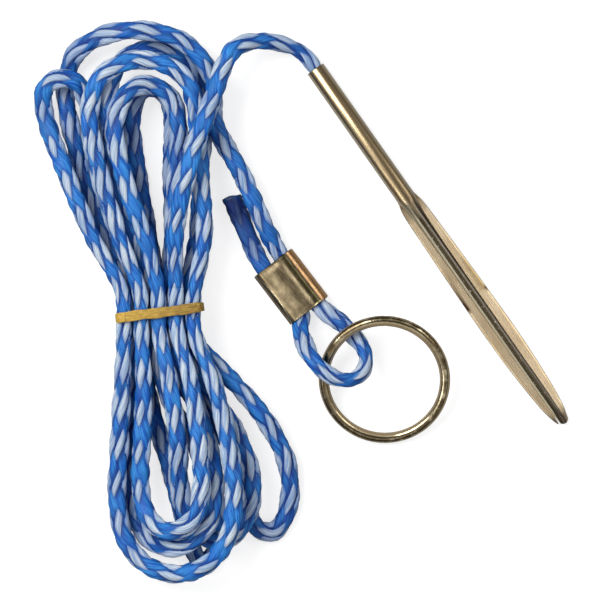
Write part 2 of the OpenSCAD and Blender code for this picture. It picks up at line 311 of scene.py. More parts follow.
# the free stretches, each point with its place and the cord's width and height there
LEAD_POINTS = [
    (35.4, 61.1, 2.4, 4.1, 3.9), (33.6, 62.6, 2.6, 4.1, 3.9), (31, 63.8, 3.2, 4.2, 3.8),
    (28, 64.6, 4.4, 4.4, 3.7), (24.1, 64.9, 6.2, 4.6, 3.7), (20.6, 64.3, 8, 4.8, 3.7),
    (17.8, 62.6, 9.4, 4.9, 3.7), (16, 59.8, 10.6, 5, 3.7), (14.6, 56.2, 11.6, 5, 3.7),
    (12.9, 51, 12.6, 5, 3.7), (11, 45.8, 13.3, 5, 3.7), (9, 40.2, 13.6, 5, 3.7),
    (7.3, 34.2, 13.5, 5, 3.7), (5.7, 28.5, 13, 5, 3.6), (4.6, 22.6, 12, 4.8, 3.5),
    (4, 16.4, 10.6, 4.5, 3.4), (4, 11, 9.8, 4.2, 3.3),
]
TAIL_POINTS = [
    (13.1, 51.2, 5.8, 5, 3.7), (13, 47, 5.4, 5, 3.7), (14.6, 42.4, 4.8, 5, 3.7),
    (17.6, 37, 4.7, 5, 3.7), (20, 32.6, 5, 5, 3.7), (22.5, 27, 5, 5, 3.7),
    (25, 21.4, 4.3, 5, 3.7),
]
EYE_POINTS = [
    (40.6, -0.4, 2.9, 5, 3.7), (43.9, -2.7, 3.6, 5, 3.7), (46.3, -5.4, 4.2, 4.6, 3.7),
    (48.5, -8, 5.1, 4.2, 3.9), (49.5, -11.2, 6.3, 4, 4), (48.5, -14.4, 7.5, 4, 4),
    (45.8, -16, 8.6, 4, 4), (42.5, -15.7, 9.2, 4.2, 3.9), (39.2, -13.8, 9.2, 4.4, 3.7),
    (36.5, -10.7, 8.1, 4.6, 3.7), (34.7, -7.2, 5.9, 4.8, 3.7), (33.8, -3.9, 3.7, 4.8, 3.6),
]
STUB_POINTS = [
    (23.4, 13.5, 2.3, 5, 3.7), (21.4, 17.9, 2, 5, 3.7), (19.4, 22.8, 1.9, 5.2, 3.6),
    (17.5, 27.2, 1.9, 5.2, 3.4),
]
# each run at the waist: how many lanes across it lies, and in which layer
LANES = [
    (1, 2), (-1, 2), (2, 2), (-2, 2), (-1, 0), (-0.5, 1),
    (1.5, 1), (0, 0), (1, 0), (0, 2), (0.5, 1), (-1.5, 1),
]
# each half loop: the middle of its bow, its two half axes, the angles at which it starts
# and ends, the layers it lies in on the way, and how its two legs lean at the waist
HALF_LOOPS = [
    (3, -42.4, 7.2, 9.6, 0, -180, (2.8, 3.1, 3.2, 2.75, 1.75, 1.35, 1.8), 0.3, 0.1),
    (-3.8, 49.8, 12.4, 10.4, 180, 0, (2, 2.15, 2.35, 1.85, 1.7, 1.7, 1.7), -0.3, 0.35),
    (4.1, -46.4, 13.9, 16, 0, -180, (2.45, 2.7, 2.6, 1.5, 1.2, 0.9, 1.6), 0.38, 0),
    (-22.8, 51.2, 5, 4.8, 195, 15, (1.5, 0.6, 0.95, 1.35, 1.25, 0.9, 0), -0.5, -0.1),
    (10.8, -51.4, 3.6, 8.4, -155, 0, (0, 0, 0, 0, 0, 0, 0.95), -0.04, -0.02),
    (-1, 52.2, 11, 11, 180, 0, (1.1, 1.4, 1, 0.4, 0, 0, 0.5), -0.15, 0.25),
    (26, -42, 5.4, 10.8, 25, -180, (1.1, 0.25, 0, 0, 0, 0, 0), 0.65, -0.04),
    (-1.8, 48, 4.6, 5.8, 180, 0, (0, 0, 0, 0, 0, 0, 0), -0.1, -0.06),
    (13.8, -42.2, 8.6, 12.4, 0, -180, (1.05, 1.05, 1.1, 1.1, 1.1, 1.5, 2.6), 0.22, 0.2),
    (-2.8, 45, 7.4, 9.4, 180, 0, (2.2, 2.35, 2.2, 1.5, 1, 1, 1), -0.05, 0.05),
    (3, -42.8, 10.4, 13.2, 0, -180, (1.65, 2, 2.25, 1.75, 0.05, 0, 0.6), 0.24, 0.05),
    (-5.4, 57, 16.6, 10.4, 180, 20, (0, 0, 0.6, 1.5, 1.3, 1, 1), -0.45, 0),
]
print("half loops", len(HALF_LOOPS))


# %% [markdown]
# ## The wound part
#
# Each half loop has a leg out from the waist, a bow that is part of an ellipse, and a
# leg back. The legs are smooth curves that leave the waist nearly upright and meet the
# bow without a kink. This is the source's own rule, so cord and solid agree.

# %% The wound part's rings
LEG_PULL, BOW_PULL = 0.36, 0.34  # how far a leg keeps its way at either end
FIRST_GROWN = 0.25  # how far the cord is back to its full width where it enters


def level_z(level):
    return CORD_H / 2 + level * (CORD_H + LAYER_GAP)


def lane_point(k, up):
    across, layer = LANES[k]
    z = WAIST_BASE + WAIST_H / 2 + layer * (WAIST_H + LAYER_GAP)
    return np.array([across * LANE_STEP, up * WAIST_RUN, z])


def unit(v):
    return np.asarray(v, float) / np.linalg.norm(v)


def flat_way(degrees):
    return np.array([math.cos(math.radians(degrees)), math.sin(math.radians(degrees))])


def ring_at(xy, z, grown):
    return (*xy, z, WAIST_W + (CORD_W - WAIST_W) * grown, WAIST_H + (CORD_H - WAIST_H) * grown)


def bow_point(loop, angle):
    return np.array(loop[:2]) + np.array(loop[2:4]) * flat_way(angle)


def bow_way(loop, angle):
    c, s = flat_way(angle)
    return unit([-loop[2] * s, loop[3] * c]) * np.sign(loop[5] - loop[4])


def leg_ring(loop, lane, up, lean, angle, side, mid, end, t):
    p, q = lane[:2], bow_point(loop, angle)
    length = np.linalg.norm(q - p)
    a = p + unit([lean, up]) * length * LEG_PULL
    b = q - side * bow_way(loop, angle) * length * BOW_PULL
    xy = (1 - t) ** 3 * p + 3 * t * (1 - t) ** 2 * a + 3 * t * t * (1 - t) * b + t**3 * q
    z = np.interp(t, (0, 0.5, 1), (lane[2], level_z(mid), level_z(end)))
    return ring_at(xy, z, min(1, 2 * t))


def half_loop_rings(k):
    loop = HALF_LOOPS[k]
    levels, up = loop[6], np.sign(loop[1])
    last = k == len(HALF_LOOPS) - 1
    rings = []
    for i in range(LEG_RINGS):
        rings.append(leg_ring(loop, lane_point(k, up), up, loop[7], loop[4], 1,
                              levels[0], levels[1], i / LEG_RINGS))
    for i in range(BOW_RINGS + last):
        u = i / BOW_RINGS
        level = np.interp(u, np.linspace(0, 1, 5), levels[1:6])
        rings.append(ring_at(bow_point(loop, loop[4] + (loop[5] - loop[4]) * u), level_z(level), 1))
    if not last:
        for i in range(LEG_RINGS, -1, -1):
            rings.append(leg_ring(loop, lane_point(k + 1, up), up, loop[8], loop[5], -1,
                                  levels[6], levels[5], i / LEG_RINGS))
    return rings


hank_rings = [ring for k in range(len(HALF_LOOPS)) for ring in half_loop_rings(k)]
hank_out = bow_way(HALF_LOOPS[-1], HALF_LOOPS[-1][5])
first_lane = lane_point(0, 1)
hank_rings.insert(0, ring_at((first_lane[0], END_RUN), first_lane[2], FIRST_GROWN))
end_xy = np.array(hank_rings[-1][:2]) + hank_out * END_RUN
hank_rings.append(ring_at(end_xy, hank_rings[-1][2], 1))
print("rings in the hank", len(hank_rings))


# %% [markdown]
# ## The free stretches
#
# Between the pieces the cord lies free, and its points were chosen along the
# photograph. In the needle's bore and in the sleeve it runs straight, so those rings
# are worked out from the pieces that hold it.

# %% The free stretches
RUN_SHARES = (0.475, 0.94)  # of the sleeve's room, what one run takes across and up
HELD_WIDTH = 3.6  # the cord inside the needle, where it is pressed round
HELD_PLACES = (13.4, 10, 7, 4.5, 2.4, 0.5)  # from the bottom of the bore to the mouth


def in_sleeve(along, side):
    run_step = (SLEEVE_W - 2 * SLEEVE_WALL) / 4
    xy = SLEEVE_MID + flat_way(SLEEVE_TURN) * along + flat_way(SLEEVE_TURN + 90) * side * run_step
    width = (SLEEVE_W - 2 * SLEEVE_WALL) * RUN_SHARES[0]
    return (*xy, SLEEVE_H / 2, width, (SLEEVE_H - 2 * SLEEVE_WALL) * RUN_SHARES[1])


def in_needle(along):
    xy = MOUTH + flat_way(NEEDLE_TURN) * along
    return (*xy, SHANK_D / 2, HELD_WIDTH, HELD_WIDTH)


SLEEVE_PLACES = (-SLEEVE_L / 2, 0, SLEEVE_L / 2)
lead_rings = [in_needle(along) for along in HELD_PLACES] + LEAD_POINTS + [hank_rings[0]]
eye_rings = (
    [hank_rings[-1]] + TAIL_POINTS
    + [in_sleeve(along, 1) for along in SLEEVE_PLACES]
    + EYE_POINTS
    + [in_sleeve(along, -1) for along in reversed(SLEEVE_PLACES)]
    + STUB_POINTS
)
print("rings from needle to hank", len(lead_rings), "and from hank to cut end", len(eye_rings))

# %% [markdown]
# ## A smooth line through the rings
#
# Between each two rings runs a cubic curve, and its slope at a ring comes from the
# gaps on both sides of it. So the line passes through every ring without a kink, and
# the cord's width and height change along it in the same way.

# %% A smooth line
HANK_STEP, FREE_STEP = 0.9, 0.6
TABLE_GAP = 0.02  # the cord's underside stays this far over the table


def smooth_way(rings, step):
    """Points a step apart on a smooth line through the rings, with width and height."""
    p = np.array(rings, float)
    gaps = np.linalg.norm(np.diff(p[:, :3], axis=0), axis=1)
    far = np.concatenate([[0], np.cumsum(gaps)])
    rates = np.diff(p, axis=0) / gaps[:, None]
    slope = np.vstack([rates[:1], np.zeros((len(p) - 2, 5)), rates[-1:]])
    share = (gaps[:-1] / (gaps[:-1] + gaps[1:]))[:, None]
    slope[1:-1] = rates[:-1] * (1 - share) + rates[1:] * share
    count = int(round(far[-1] / step)) + 1
    at = np.linspace(0, far[-1], count)
    k = np.clip(np.searchsorted(far, at, side="right") - 1, 0, len(gaps) - 1)
    gap = gaps[k][:, None]
    t = ((at - far[k]) / gaps[k])[:, None]
    way = (
        (2 * t**3 - 3 * t**2 + 1) * p[k] + (t**3 - 2 * t**2 + t) * gap * slope[k]
        + (3 * t**2 - 2 * t**3) * p[k + 1] + (t**3 - t**2) * gap * slope[k + 1]
    )
    way[:, 2] = np.maximum(way[:, 2], way[:, 4] / 2 + TABLE_GAP)
    return way


def distances(way, begin=0.0):
    """How far along the cord each point of the way is."""
    steps = np.linalg.norm(np.diff(way[:, :3], axis=0), axis=1)
    return begin + np.concatenate([[0], np.cumsum(steps)])


def way_length(way):
    return float(distances(way)[-1])


def to_frame(points):
    return (np.asarray(points, float) - MIDDLE) * MM


hank_way = smooth_way(hank_rings, HANK_STEP)
hank_way[:, 3] = np.maximum(hank_way[:, 3], LANE_STEP)  # the runs touch under the band
lead_way = smooth_way(lead_rings, FREE_STEP)
eye_way = smooth_way(eye_rings, FREE_STEP)
for name, way in (("hank", hank_way), ("lead", lead_way), ("eye", eye_way)):
    low = (way[:, 2] - way[:, 4] / 2).min()
    print(name, len(way), "points,", round(way_length(way), 1), "mm, lowest side", round(low, 2))

# %% [markdown]
# ## The braid
#
# Eight flat strands make the cord: four white ones wind one way round it and four blue
# ones the other, each going over one and under one. So a strand shows as a long lozenge
# every second row. A tube with a painted pattern would look flat from the side, and
# this cord is what the eye looks at, so every strand is its own loft: a flat section
# with round edges that runs round an oval and moves out and in as it crosses the others.

# %% Strand maker
ROW = 4.7  # from one crossing to the next
TURN_L = 8 * ROW  # one full turn of a strand
STRAND_W = {"white": 1.7, "blue": 2.75}
STRAND_T = 0.38
WEAVE = 0.32  # how far a strand moves out and in
SEAT = 1.15  # how many of these moves the middle of the strands lies inside the outline
FLATNESS = 0.4  # the power that makes the round section a flat one
DRIFT_L = 95  # the whole pattern turns by an eighth in this length
# waves along the cord: size, length over 2 pi, and the shift per strand and per family
WANDER = ((0.35, 31, 0, 0),)
UNEVEN = ((0.12, 17, 1.7, 1), (0.08, 6.1, 2.9, 0))
SLACK, SLACK_WAVES = 0.1, ((0.22, 19, 0, 0), (0.12, 7.3, 0, 0))
SWELL = 0.08  # how much wider a strand is where it lies on top
CORE_DEPTH = 0.78


def waves(far, parts, number=0, hand=0):
    """A slow change along the cord, which keeps the braid from looking like a print."""
    return sum(size * np.sin(far / length + number * by_strand + hand * by_family)
               for size, length, by_strand, by_family in parts)


def across_and_up(way):
    """The directions across the flat cord and up from it, at each point."""
    t = np.gradient(way[:, :3], axis=0)
    t /= np.linalg.norm(t, axis=1)[:, None]
    side = np.stack([-t[:, 1], t[:, 0], np.zeros(len(t))], axis=1)
    side /= np.linalg.norm(side, axis=1)[:, None]
    return side, np.cross(t, side)


def on_ways(way, px, py):
    """Points at a place across and up from each point of the way, in the frame."""
    side, up = across_and_up(way)
    return to_frame(way[:, None, :3] + side[:, None, :] * px[..., None] + up[:, None, :] * py[..., None])


def lay_strand(way, family, number, sides, begin):
    """Rings of one strand's section, and what its finish needs to know at each point."""
    w, h = way[:, 3], way[:, 4]
    far = distances(way, begin)
    hand = 1 if family == "white" else -1
    slow = far * (math.pi / 4) / DRIFT_L + waves(far, WANDER)
    start = 0 if family == "white" else math.pi / 4
    angle = hand * 2 * math.pi * far / TURN_L + start + number * math.pi / 2 + slow
    beat = np.sin(math.pi * far / ROW)
    size = (w / CORD_W + h / CORD_H) / 2
    a = w / 2 - (SEAT * WEAVE + STRAND_T) * size
    b = h / 2 - (SEAT * WEAVE + STRAND_T) * size
    uneven = waves(far, UNEVEN, number, hand)
    half_w = STRAND_W[family] / 2 * size * (1 + SWELL * hand * beat + uneven)
    speed = np.hypot(a * np.sin(angle), b * np.cos(angle))

    turns = np.arange(sides) * 2 * math.pi / sides
    x, y = np.cos(turns)[None, :], np.sin(turns)[None, :]
    y = np.sign(y) * np.abs(y) ** FLATNESS
    spread = angle[:, None] + x * (half_w / speed)[:, None]
    over = hand * (np.sin(4 * (spread - slow[:, None])) + beat[:, None]) / 2
    over = over + hand * (SLACK + waves(far, SLACK_WAVES))[:, None]
    lift = (WEAVE * size)[:, None] * over + (STRAND_T * size)[:, None] * y
    c, s = np.cos(spread), np.sin(spread)
    nx, ny = b[:, None] * c, a[:, None] * s
    long = np.hypot(nx, ny)
    points = on_ways(way, a[:, None] * c + lift * nx / long, b[:, None] * s + lift * ny / long)
    edge = np.broadcast_to(np.abs(x), lift.shape)
    return {"points": points, "edge": edge, "deep": (1 - over) / 2, "far": far}


def lay_core(way, sides, begin):
    """A filling that stops light between the strands, as the inner yarns do, darkened by painted shade.
    """
    turns = np.arange(sides) * 2 * math.pi / sides
    px = (way[:, 3] / 2 - CORE_DEPTH)[:, None] * np.cos(turns)[None, :]
    py = (way[:, 4] / 2 - CORE_DEPTH)[:, None] * np.sin(turns)[None, :]
    # marks that make the strand finish paint shade on the core
    edge, deep = np.full(px.shape, 0.6), np.full(px.shape, 0.45)
    return {"points": on_ways(way, px, py), "edge": edge, "deep": deep, "far": distances(way, begin)}


print("one full turn of a strand takes", TURN_L, "mm")

# %% [markdown]
# ## One mesh for the strands of a colour
#
# The strands of one colour become one mesh, written face by face, because so many
# lofts would take long with operators. Each vertex keeps how near it is to its
# strand's edge, how deep it lies and how far it is burnt, and the finish paints
# shade from the first two and reads the last.

# %% Mesh from strands
UV_PER_MM = 0.1


def mesh_of_strands(name, strands, sides, burnt_from=None):
    """One mesh of closed strands, with its UV map along and round each strand."""
    vertices, faces, uvs, marks = [], [], [], {"edge": [], "deep": [], "burnt": []}
    first = 0
    for strand in strands:
        far = strand["far"]
        vertices.append(strand["points"].reshape(-1, 3))
        for k in range(len(far) - 1):
            for i in range(sides):
                j = (i + 1) % sides
                a, b = first + k * sides, first + (k + 1) * sides
                faces.append((a + i, a + j, b + j, b + i))
                low, high = i / sides, (i + 1) / sides
                uvs.extend([(low, far[k]), (high, far[k]), (high, far[k + 1]), (low, far[k + 1])])
        last = first + (len(far) - 1) * sides
        begin_cap = (first, far[0], range(sides - 1, -1, -1))
        end_cap = (last, far[-1], range(sides))
        for corner, place, order in (begin_cap, end_cap):
            faces.append([corner + i for i in order])
            uvs.extend([(i / sides, place) for i in order])
        burnt = np.zeros(len(far))
        if burnt_from is not None:
            burnt = np.clip((far - burnt_from[0]) / (burnt_from[1] - burnt_from[0]), 0, 1)
        marks["edge"].append(strand["edge"].reshape(-1))
        marks["deep"].append(strand["deep"].reshape(-1))
        marks["burnt"].append(np.repeat(burnt, sides))
        first += len(far) * sides
    mesh = bpy.data.meshes.new(name)
    mesh.from_pydata(np.concatenate(vertices).tolist(), [], faces)
    layer = mesh.uv_layers.new(name="strand")
    layer.data.foreach_set("uv", (np.array(uvs) * (1, UV_PER_MM)).reshape(-1).astype(np.float32))
    for key, parts in marks.items():
        values = mesh.attributes.new(key, "FLOAT", "POINT")
        values.data.foreach_set("value", np.concatenate(parts).astype(np.float32))
    mesh.polygons.foreach_set("use_smooth", [True] * len(mesh.polygons))
    mesh.update()
    piece = bpy.data.objects.new(name, mesh)
    bpy.context.scene.collection.objects.link(piece)
    return piece


def lay_cord(name, way, sides, begin=0.0, burnt_from=None):
    """The blue strands and the white strands of one stretch, as two pieces."""
    pieces = []
    for family in ("blue", "white"):
        strands = [lay_strand(way, family, n, sides, begin) for n in range(4)]
        if family == "blue":
            strands.append(lay_core(way, sides, begin))
        pieces.append(mesh_of_strands(f"{name}_{family}", strands, sides, burnt_from))
    print(name, [len(p.data.polygons) for p in pieces], "faces")
    return pieces


# %% [markdown]
# ## The strands' finish
#
# Each strand is a flat bundle of shiny filaments. Fine lines run along it, it gets
# painted shade at its edges and where it dives under its neighbour, and no two
# stretches have quite the same colour. Runs near the table get painted shade, as if
# they lay in the others' shade, where white yarn looks blue.


# %% Strand finishes
def strand_finish(name, light, mid, dark, burnt):
    finish = Finish(name)
    lines = finish.noise(finish.places((10, 0.45, 1), "UV"), 2.6, 4, 0.75)
    streaks = finish.noise(finish.places((3, 0.35, 1), "UV"), 1.6, 3, 0.6)
    cloudy = finish.noise(finish.places((140, 140, 140)), 1.0, 2, 0.5)
    height = finish.add("ShaderNodeSeparateXYZ", None, {0: finish.places()}, "Z")
    painted_low_shade = finish.span(height, 12 * MM, 1 * MM, 0.0, 0.42)
    painted_edge_shade = finish.span(finish.attribute("edge"), 0.75, 1.0)
    painted_dive_shade = finish.span(finish.attribute("deep"), 0.3, 0.6)
    tone = finish.mix(finish.span(lines, 0.42, 0.55), colour(mid), colour(light))
    tone = finish.coat(finish.span(streaks, 0.5, 0.62) * 0.45, tone, dark)
    tone = finish.coat(finish.span(cloudy, 0.3, 0.7, 0.0, 0.35), tone, mid)
    # painted shade on the runs near the table, which turns white yarn blue
    tone = finish.coat(painted_low_shade, tone, dark)
    # painted shade at the strands' edges and where they dive under a neighbour
    tone = finish.coat(painted_edge_shade * 0.35 + painted_dive_shade * 0.75, tone, dark)
    tone = finish.coat(finish.attribute("burnt"), tone, burnt)
    finish.set(Base_Color=tone, Roughness=finish.span(lines, 0.3, 0.7, 0.36, 0.52))
    finish.set(Normal=finish.bump(lines, 0.2 * MM, 0.7), Specular_IOR_Level=0.3)
    return finish.material


white_yarn = strand_finish("yarn_white", "E4EAEE", "90B2D6", "2C66B4", "1A3468")
blue_yarn = strand_finish("yarn_blue", "409EEA", "105CC4", "0A2C7C", "142E70")
print("yarns", white_yarn.name, blue_yarn.name)

# %% [markdown]
# ## Laying the cord
#
# The braid's pattern is counted from the needle's side on, so that it runs through
# where one stretch meets the next. The wound part and the eye go with the bundle. The
# stretch behind the needle has to bend when the needle swings, but here it keeps its
# place in its own mesh and goes with no body.

# %% Lay the three stretches
STRAND_SIDES = 10
SEAL_RUN, SEAL_FADE = 18, 14  # the last stretch that the hot knife has darkened

hank_l, lead_l, eye_l = way_length(hank_way), way_length(lead_way), way_length(eye_way)
seal_from = hank_l + eye_l - SEAL_RUN
hank_blue, hank_white = lay_cord("cord_hank", hank_way, STRAND_SIDES)
lead_blue, lead_white = lay_cord("cord_lead", lead_way, STRAND_SIDES, begin=-lead_l)
eye_blue, eye_white = lay_cord("cord_eye", eye_way, STRAND_SIDES, begin=hank_l,
                               burnt_from=(seal_from, seal_from + SEAL_FADE))

for piece in (hank_blue, hank_white, eye_blue, eye_white):
    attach(piece, "cord")
for piece in (lead_blue, lead_white):
    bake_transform(piece)
for blue, white in ((hank_blue, hank_white), (lead_blue, lead_white), (eye_blue, eye_white)):
    blue.data.materials.append(blue_yarn)
    white.data.materials.append(white_yarn)

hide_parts("cord_hank")
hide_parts("cord_lead", "cord_needle_end")
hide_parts("cord_tail", "cord_eye", "cord_stub")


print("cord lengths in mm", [round(length) for length in (lead_l, hank_l, eye_l)])

# %% [markdown]
# ## Tools for shaping a piece
#
# A piece starts as a simple shape and is worked on in edit mode, as by hand. The
# vertices are picked by their place. A new piece is modelled lying along X at the
# origin, then set down where it belongs, with its place kept in its mesh.


# %% Shaping helpers
CLOSE = 0.001  # corners nearer to each other than this are one


def open_piece(piece):
    bpy.ops.object.select_all(action="DESELECT")
    bpy.context.view_layer.objects.active = piece
    piece.select_set(True)
    bpy.ops.object.mode_set(mode="EDIT")
    bpy.context.tool_settings.mesh_select_mode = (True, False, False)
    bpy.ops.mesh.select_all(action="DESELECT")


def close_piece():
    bpy.ops.object.mode_set(mode="OBJECT")


def pick(piece, wanted):
    """Select the vertices whose place, in millimetres, is wanted, and count them."""
    net = bmesh.from_edit_mesh(piece.data)
    for part in (*net.verts, *net.edges, *net.faces):
        part.select = False
    for vertex in net.verts:
        vertex.select = bool(wanted(*(vertex.co / MM)))
    net.select_flush(True)
    bmesh.update_edit_mesh(piece.data)
    return sum(vertex.select for vertex in net.verts)


def cut_lines(axis, places):
    """Cut the open piece right through, square to an axis, at each place."""
    way = [float(axis == i) for i in range(3)]
    for place in places:
        bpy.ops.mesh.select_all(action="SELECT")
        bpy.ops.mesh.bisect(plane_co=[c * place * MM for c in way], plane_no=way)


def push(move, reach=None):
    """Move what is picked, and take its surroundings along as far as the reach."""
    settings = {}
    if reach:
        settings = {"use_proportional_edit": True, "proportional_edit_falloff": "SMOOTH",
                    "proportional_size": reach * MM}
    bpy.ops.transform.translate(value=[c * MM for c in move], **settings)


def finish_with(piece, kind, **settings):
    modifier = piece.modifiers.new(kind.lower(), kind)
    for key, setting in settings.items():
        setattr(modifier, key, setting)
    bpy.context.view_layer.objects.active = piece
    bpy.ops.object.modifier_apply(modifier=modifier.name)


def set_down(piece, place, turn, tilt=0.0, smooth=35):
    """Put the modelled piece in its place and keep that place in its mesh."""
    bpy.ops.object.select_all(action="DESELECT")
    bpy.context.view_layer.objects.active = piece
    piece.select_set(True)
    piece.location = place
    piece.rotation_euler = (math.radians(tilt), 0, math.radians(turn))
    bpy.ops.object.transform_apply(location=True, rotation=True, scale=True)
    bpy.ops.object.shade_smooth_by_angle(angle=math.radians(smooth))
    bpy.ops.object.select_all(action="DESELECT")
    print(piece.name, len(piece.data.polygons), "faces", [round(c / MM, 1) for c in piece.dimensions])


def flat_place(xy, z):
    return (*(float(c) for c in to_frame((*xy, 0))[:2]), z * MM)


# %% [markdown]
# ## The ring
#
# The ring is round wire bent to a circle, its ends butted and closed. A circle is spun
# once round an axis, which gives more control than a ready torus: the slice at the
# joint is then drawn in a little, as the real seam is.

# %% Ring
RING_STEPS = 200
WIRE_SIDES = 40
JOINT_AT = 99  # degrees round the ring
JOINT_DEPTH = 0.07
SLICE_REACH = 0.3  # of the step between two slices

bpy.ops.object.select_all(action="DESELECT")
bpy.ops.mesh.primitive_circle_add(
    vertices=WIRE_SIDES, radius=WIRE_D / 2 * MM, location=(0, 0, 0), rotation=(math.pi / 2, 0, 0)
)
ring = bpy.context.object
ring.name = "ring_wire"
bpy.ops.object.transform_apply(rotation=True)
open_piece(ring)
bpy.ops.mesh.select_all(action="SELECT")
push((RING_R, 0, 0))
bpy.ops.mesh.spin(steps=RING_STEPS, angle=2 * math.pi, center=(0, 0, 0), axis=(0, 0, 1))
bpy.ops.mesh.select_all(action="SELECT")
bpy.ops.mesh.remove_doubles(threshold=CLOSE * MM)
bpy.ops.mesh.select_all(action="SELECT")
bpy.ops.mesh.normals_make_consistent(inside=False)


def off_joint(x, y):
    return abs((math.degrees(math.atan2(y, x)) - JOINT_AT + 180) % 360 - 180)


picked = pick(ring, lambda x, y, z: off_joint(x, y) < SLICE_REACH * 360 / RING_STEPS)
bpy.ops.transform.shrink_fatten(value=-JOINT_DEPTH * MM)
close_piece()
ring_z = WIRE_D / 2 + RING_R * math.sin(math.radians(RING_TILT))
set_down(ring, flat_place(RING_MID, ring_z), RING_TURN, RING_TILT)
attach(ring, "ring")
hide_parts("ring")
print("vertices at the joint", picked)

# %% [markdown]
# ## The crimp sleeve
#
# The sleeve is a short tube pressed flat over both runs of the cord. A box with its
# ends taken off and its long edges rounded becomes a flat tube. The press leaves a
# shallow valley along one side and a low dome between, and the rims are turned out
# a little. A wall is then grown inwards and its edges are softened.

# %% Sleeve
SLEEVE_ROUND = 0.49  # of its height, the radius of its long edges
SLEEVE_CUT, SLEEVE_RIM = 0.6, 6.95
SLEEVE_TOP = 2  # above its middle, where the pressed face begins
SLEEVE_LINES = (-3, -2.6, -2.2, -1.7, -1.1, -0.5, 0.2, 0.9, 1.5, 1.9, 2.3, 2.7, 3.1)
# what the press did: how far along from the middle, from where to where across, how
# high it rises, and how far that reaches. A dome, a valley, and the rims drawn down.
SLEEVE_PRESSES = [
    ((0, 5.5), -1.8, 0.3, 0.1, 2.4),
    ((0, 6.7), 2.2, 2.8, -0.24, 1.1),
    ((6.9, SLEEVE_L), -2, 1.4, -0.16, 1.8),
]
RIM_TURN, SLEEVE_EDGE = 0.05, 0.1

bpy.ops.object.select_all(action="DESELECT")
bpy.ops.mesh.primitive_cube_add(size=1)
sleeve = bpy.context.object
sleeve.name = "sleeve_tube"
sleeve.scale = (SLEEVE_L * MM, SLEEVE_W * MM, SLEEVE_H * MM)
bpy.ops.object.transform_apply(scale=True)
open_piece(sleeve)
net = bmesh.from_edit_mesh(sleeve.data)
bpy.context.tool_settings.mesh_select_mode = (False, False, True)
for face in net.faces:
    face.select = abs(face.normal.x) > 0.9
bmesh.update_edit_mesh(sleeve.data)
bpy.ops.mesh.delete(type="ONLY_FACE")
bpy.context.tool_settings.mesh_select_mode = (False, True, False)
net = bmesh.from_edit_mesh(sleeve.data)
for edge in net.edges:
    edge.select = abs((edge.verts[0].co - edge.verts[1].co).x) > SLEEVE_L * 0.9 * MM
bmesh.update_edit_mesh(sleeve.data)
bpy.ops.mesh.bevel(offset=SLEEVE_H * SLEEVE_ROUND * MM, segments=14, profile=0.5, affect="EDGES")
bpy.context.tool_settings.mesh_select_mode = (True, False, False)
cut_lines(0, [i * SLEEVE_CUT for i in range(-11, 12)] + [-SLEEVE_RIM, SLEEVE_RIM])
cut_lines(1, SLEEVE_LINES)

for (near, far), low, high, press, reach in SLEEVE_PRESSES:
    pick(sleeve, lambda x, y, z: z > SLEEVE_TOP and near <= abs(x) < far and low < y < high)
    push((0, 0, press), reach)
pick(sleeve, lambda x, y, z: abs(x) > SLEEVE_L / 2 - 0.05)
bpy.ops.transform.shrink_fatten(value=RIM_TURN * MM)
close_piece()
finish_with(sleeve, "SOLIDIFY", thickness=SLEEVE_WALL * MM, offset=-1)
finish_with(sleeve, "BEVEL", width=SLEEVE_EDGE * MM, segments=2, limit_method="ANGLE",
            angle_limit=math.radians(50))
set_down(sleeve, flat_place(SLEEVE_MID, SLEEVE_H / 2), SLEEVE_TURN)
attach(sleeve, "cord")
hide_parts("sleeve")

# %% [markdown]
# ## The needle
#
# The needle is one strip of brass sheet. At the cord's end it is rolled into a tube.
# Towards the tip the press has flattened it into two wings, and the tube runs on
# between them as a rib that soon gets narrower and lower. Such a sheet has a
# different section at every place, so it is lofted: closed sections, one after the
# other, from the bottom of the bore out to the mouth and along the outside to the tip.
# The last sections go back at their sides, which rounds the nose.

# %% The needle's sections
NEEDLE_SIDES = 144
TURNS = np.arange(NEEDLE_SIDES) * 2 * math.pi / NEEDLE_SIDES
WING_TURN = math.cos(math.radians(15))  # corners this near to an edge are the wing's
BORE, BORE_L = SHANK_D / 2 - NEEDLE_WALL, 14
SHOULDER_AT = 37.5  # where the round shank begins to open into the blade
# from where to where along the needle: the wings get lower, their edges lean down,
# the sheet gets its wall, the tube's underside comes up, and the hollow under the rib
# opens and gets narrower
WINGS_LOWER, EDGES_LEAN, WALL_GROWS = (SHOULDER_AT, 43), (38, 44), (SHOULDER_AT, 39.4)
BELLY_RISES, HOLLOW_OPENS, HOLLOW_NARROWS = (SHOULDER_AT, 45), (40, 48), (38, 43)
EDGE_ROUND = 0.03  # the round of a wing's edge, of half the width
HOLLOW_WALL, HOLLOW_ROOF = 0.35, 0.05  # how much narrower and lower than the rib it is
# the nose: where it rounds off, how far back at the sides, its middle, half its width,
# and the most that a side takes of the way back
NOSE, NOSE_BACK, NOSE_MIDDLE, NOSE_HALF, NOSE_MOST = (98, 104), 1.1, 0.35, 1.5, 0.8
# each pair of these: a place along the needle, and the value there
HALF_WIDTHS = [(0, 2.3), (37.7, 2.3), (39, 2.62), (40.3, 2.9), (42.2, 3.03), (46, 3.13), (53.5, 3.3),
               (60.6, 3.45), (68.4, 3.58), (75.5, 3.65), (82, 3.58), (88.5, 3.34), (93.9, 3),
               (98, 2.62), (101, 2.2), (102.8, 1.82), (103.7, 1.55), (104, 1.4)]
RIB_HALVES = [(37.5, 2.3), (40, 1.98), (43, 1.66), (46, 1.48), (53, 1.35), (62, 1.26), (96, 1.1),
              (104, 0.85)]
RIB_HEIGHTS = [(37.5, 2.3), (40, 2.05), (43, 1.7), (46, 1.4), (53, 1.15), (62, 1.0), (99, 0.95),
               (104, 0.7)]
